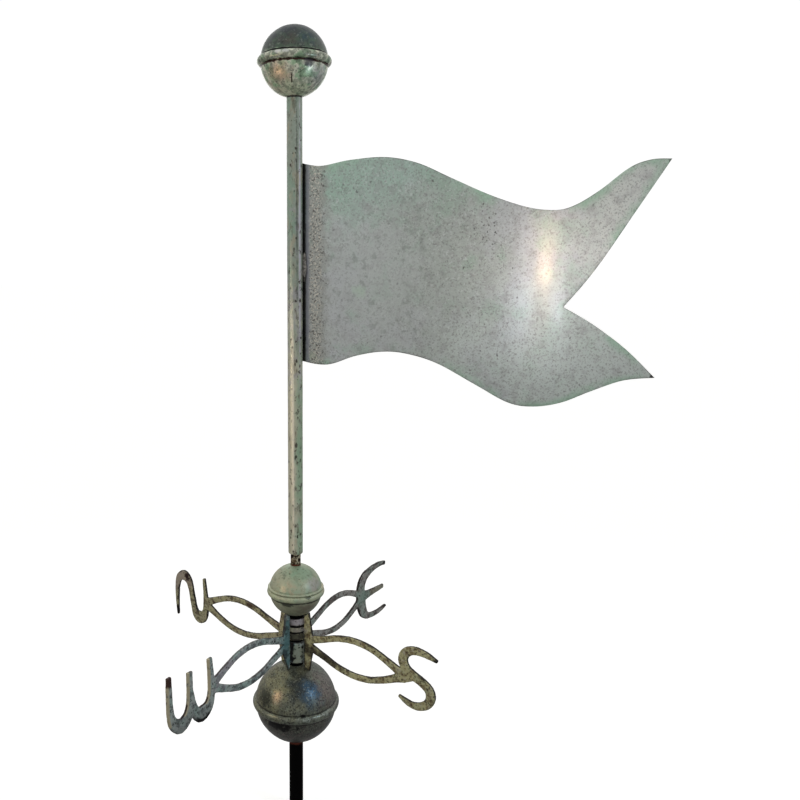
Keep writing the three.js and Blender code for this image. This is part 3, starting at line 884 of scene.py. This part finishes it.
flagLook = {
    "ground": (197, 204, 198),
    "layers": [
        {"colour": (204, 206, 210), "cloud": (55, 0.44, 0.58), "amount": 0.7},
        {"colour": (174, 200, 181), "cloud": (38, 0.5, 0.62), "amount": 0.7},
        {"colour": (170, 201, 182), **onFlag(80, 512, (110, 60, 42)), "amount": 0.8, "ragged": 0.6,
         "raggedSize": 34, "soft": 0.6},
        {"colour": (170, 180, 168), **onFlag(160, 400, (60, 60, 110)), "amount": 0.45, "ragged": 0.6,
         "raggedSize": 34, "soft": 0.7},
        # Paler tails: partly the patina's tone, partly painted sheen
        {"colour": (231, 234, 227), **onFlag(352, 460, (75, 60, 75)), "amount": 0.75, "ragged": 0.5,
         "raggedSize": 30, "soft": 0.6},
        {"colour": (212, 222, 214), **onFlag(290, 315, (110, 60, 60)), "amount": 0.7, "ragged": 0.5,
         "raggedSize": 30, "soft": 0.6},
        {"colour": (160, 157, 157), "cloud": (10, 0.46, 0.7), "amount": 0.5},
        {"colour": (218, 224, 220), "cloud": (2.4, 0.52, 0.66), "amount": 0.5},
        {"colour": (136, 136, 132), "cloud": (1.9, 0.51, 0.63), "amount": 0.62},
        {"colour": (166, 206, 176), "mark": ("edge", 11, 0), "ragged": 4, "raggedSize": 20,
         "cloud": (60, 0.45, 0.58), "amount": 0.7},
        {"colour": (187, 225, 187), **onFlag(67.6, 384, (7, 40, 6)), "amount": 0.5, "soft": 0.6,
         "raggedSize": 7},
        {"colour": (199, 220, 178), **onFlag(18.8, 318, (4.5, 40, 5)), "amount": 0.8, "soft": 0.5,
         "raggedSize": 5},
        {"colour": (96, 92, 90), "cloud": (4, 0.61, 0.69), "amount": 0.5},
        {"colour": (60, 54, 53), "specks": (9, 0.17, 0.2), "cloud": (40, 0.44, 0.56), "amount": 0.7},
        {"colour": (52, 44, 44), **onFlag(198, 450, (14, 60, 26)), "specks": (3.4, 0.34, 0.4),
         "amount": 0.7, "soft": 0.6},
        {"colour": (92, 90, 88), "cloud": (2.2, 0.6, 0.68), "amount": 0.24},
        {"colour": (204, 209, 207), **onFlag(75, 385, (60, 60, 85)), "amount": 0.4, "ragged": 0.5,
         "raggedSize": 30, "soft": 0.6},
        {"colour": (167, 169, 161), **onFlag(22, 412, (9, 80, 4000)), "ragged": 0.7, "raggedSize": 7,
         "soft": 0.7, "amount": 0.8},
        {"colour": (229, 223, 208), **onFlag(20, 412, (7, 80, 4000)), "ragged": 0.4, "raggedSize": 6,
         "soft": 0.5, "cloud": (1.7, 0.5, 0.6), "detail": 2, "amount": 0.8},
        {"colour": (78, 73, 69), **onFlag(21.5, 412, (10, 80, 4000)), "ragged": 0.6, "raggedSize": 9,
         "soft": 0.5, "cloud": (1.9, 0.53, 0.62), "detail": 2, "amount": 0.8},
        {"colour": (138, 140, 152), **onFlag(12.2, 412, (2.6, 80, 4000)), "ragged": 0.3, "raggedSize": 9,
         "soft": 0.6, "amount": 0.8},
        # Painted shade: the black crevice between the hoist and the tube
        {"colour": (9, 8, 8), **onFlag(5, 412, (6.2, 80, 4000)), "ragged": 0.06, "raggedSize": 9,
         "soft": 0.12},
        {"colour": (12, 9, 9), **onFlag(379.6, 293.8, (4, 40, 4)), "ragged": 0},
        {"colour": (44, 40, 37), "mark": ("edge", 1.1, 0.2), "cloud": (34, 0.44, 0.56), "amount": 0.75},
        {"colour": (132, 140, 132), **onFlag(95, 405, (70, 60, 105)), "soft": 0.4,
         "cloud": (7, 0.53, 0.66), "amount": 0.42},
    ],
    "metallic": 0.45, "specular": 0.3, "roughness": (0.33, 0.39), "glossSize": 14, "lacquer": (1.0, 0.17),
    "grain": 0.9, "bump": 0.1, "bumpDepth": 0.25, "seed": 160,
}
solderLook = {
    "ground": (150, 146, 140),
    "layers": [
        {"colour": (84, 80, 74), "cloud": (3, 0.45, 0.6), "amount": 0.8},
        {"colour": (44, 38, 34), "cloud": (5, 0.52, 0.64), "amount": 0.7},
    ],
    "metallic": 0.5, "specular": 0.3, "roughness": (0.38, 0.55), "glossSize": 3, "lacquer": (0, 0.3),
    "grain": 0.6, "bump": 0.3, "bumpDepth": 0.3, "seed": 200,
}


def flagOutline():
    outline = []
    for run in ("top", "upperTail", "lowerTail", "bottom"):
        outline += smoothRun(flag[run], flag["outlineSteps"])
    outline.append(Vector(flag["bottom"][-1]))
    return [Vector((spot.x * mm, 0, (spot.y + flag["base"]) * mm)) for spot in outline]


# Cuts the flat outline into small cells, along its length and its height
def cutCells(bm):
    for axis in (Vector((1, 0, 0)), Vector((0, 0, 1))):
        places = [vert.co.dot(axis) for vert in bm.verts]
        low, high = min(places), max(places)
        cuts = int((high - low) / (flag["cell"] * mm))
        for i in range(1, cuts):
            bmesh.ops.bisect_plane(bm, geom=bm.verts[:] + bm.edges[:] + bm.faces[:], dist=weld,
                                   plane_co=axis * (low + (high - low) * i / cuts), plane_no=axis)


# Way in mm from each point to the flag's edge
def markFlagEdge(bm, outline):
    samples = flag["edgeSamples"]
    spots = []
    for here, onward in zip(outline, outline[1:] + outline[:1]):
        spots += [here.lerp(onward, k / samples) for k in range(samples)]
    toEdge = nearestOf(spots)
    edge = bm.verts.layers.float.new("edge")
    for vert in bm.verts:
        vert[edge] = toEdge.find(vert.co)[2] / mm


# Bends the flat sheet to its plan, with slight dents away from the tube
def bendFlag(bm):
    steps = flag["planSteps"]
    plan = [splinePoint(flag["plan"], i / steps) for i in range(steps + 1)]
    depth, span = flag["dents"]
    dentsRun = flag["dentsFull"] - flag["dentsFrom"]
    for vert in bm.verts:
        out = vert.co.x / mm
        after = next((k for k, spot in enumerate(plan) if spot.x >= out), steps)
        before = max(after - 1, 0)
        width = max(plan[after].x - plan[before].x, 1e-6)
        share = min(max((out - plan[before].x) / width, 0), 1)
        bend = plan[before].y + (plan[after].y - plan[before].y) * share
        calm = min(max((out - flag["dentsFrom"]) / dentsRun, 0), 1)
        vert.co.y = (bend + noise.noise(vert.co / (span * mm)) * depth * calm) * mm
    bmesh.ops.recalc_face_normals(bm, faces=bm.faces)


# Gives the sheet its thickness and rounds its edges
def thickenFlag(bm):
    mesh = bpy.data.meshes.new("flagFlat")
    bm.to_mesh(mesh)
    bm.free()
    flat = bpy.data.objects.new("flagFlat", mesh)
    scene.collection.objects.link(flat)
    wall = flat.modifiers.new("wall", "SOLIDIFY")
    wall.thickness = flag["thick"] * mm
    wall.offset = 0
    soft = flat.modifiers.new("edges", "BEVEL")
    soft.width = flag["edgeRound"] * mm
    soft.segments = flag["edgeSegments"]
    soft.limit_method = "ANGLE"
    soft.angle_limit = math.radians(flag["edgeAngle"])
    bm = bmesh.new()
    bm.from_mesh(settledMesh(flat))
    bpy.data.objects.remove(flat)
    return bm


def addSolder(bm):
    made = bmesh.ops.create_icosphere(bm, subdivisions=solder["fineness"], radius=1)["verts"]
    bmesh.ops.scale(bm, vec=[half * mm for half in solder["half"]], verts=made)
    depth, span = solder["lumps"]
    for vert in made:
        vert.co *= 1 + depth * noise.noise(vert.co / (span * mm))
    x, y, z = solder["at"]
    bmesh.ops.translate(bm, vec=Vector((x, y, z + flag["base"])) * mm, verts=made)
    beadVerts = set(made)
    for face in bm.faces:
        face.material_index = 1 if face.verts[0] in beadVerts else 0


def makeFlag():
    outline = flagOutline()
    bm = bmesh.new()
    bm.faces.new([bm.verts.new(spot) for spot in outline])
    cutCells(bm)
    markFlagEdge(bm, outline)
    bendFlag(bm)
    bm = thickenFlag(bm)
    addSolder(bm)
    bmesh.ops.rotate(bm, verts=bm.verts, cent=(0, 0, 0), matrix=flagTurn())
    finishPiece("flagSheet", bm, "vane", "sheet_copper", ["flag"], layeredColours("flagPatina", flagLook),
                layeredColours("solderGrey", solderLook), sharpAngle=flag["sharp"])


makeRod()
makeBall("largeBall", largeBall, "stand", "large_ball", largeBallLook)
makeBall("smallBall", smallBall, "stand", "small_ball", smallBallLook)
for armName, tones in castTones.items():
    makeArm(armName, tones)
makeTube()
makeBall("topBall", topBall, "vane", "top_ball", topBallLook)
makeFlag()
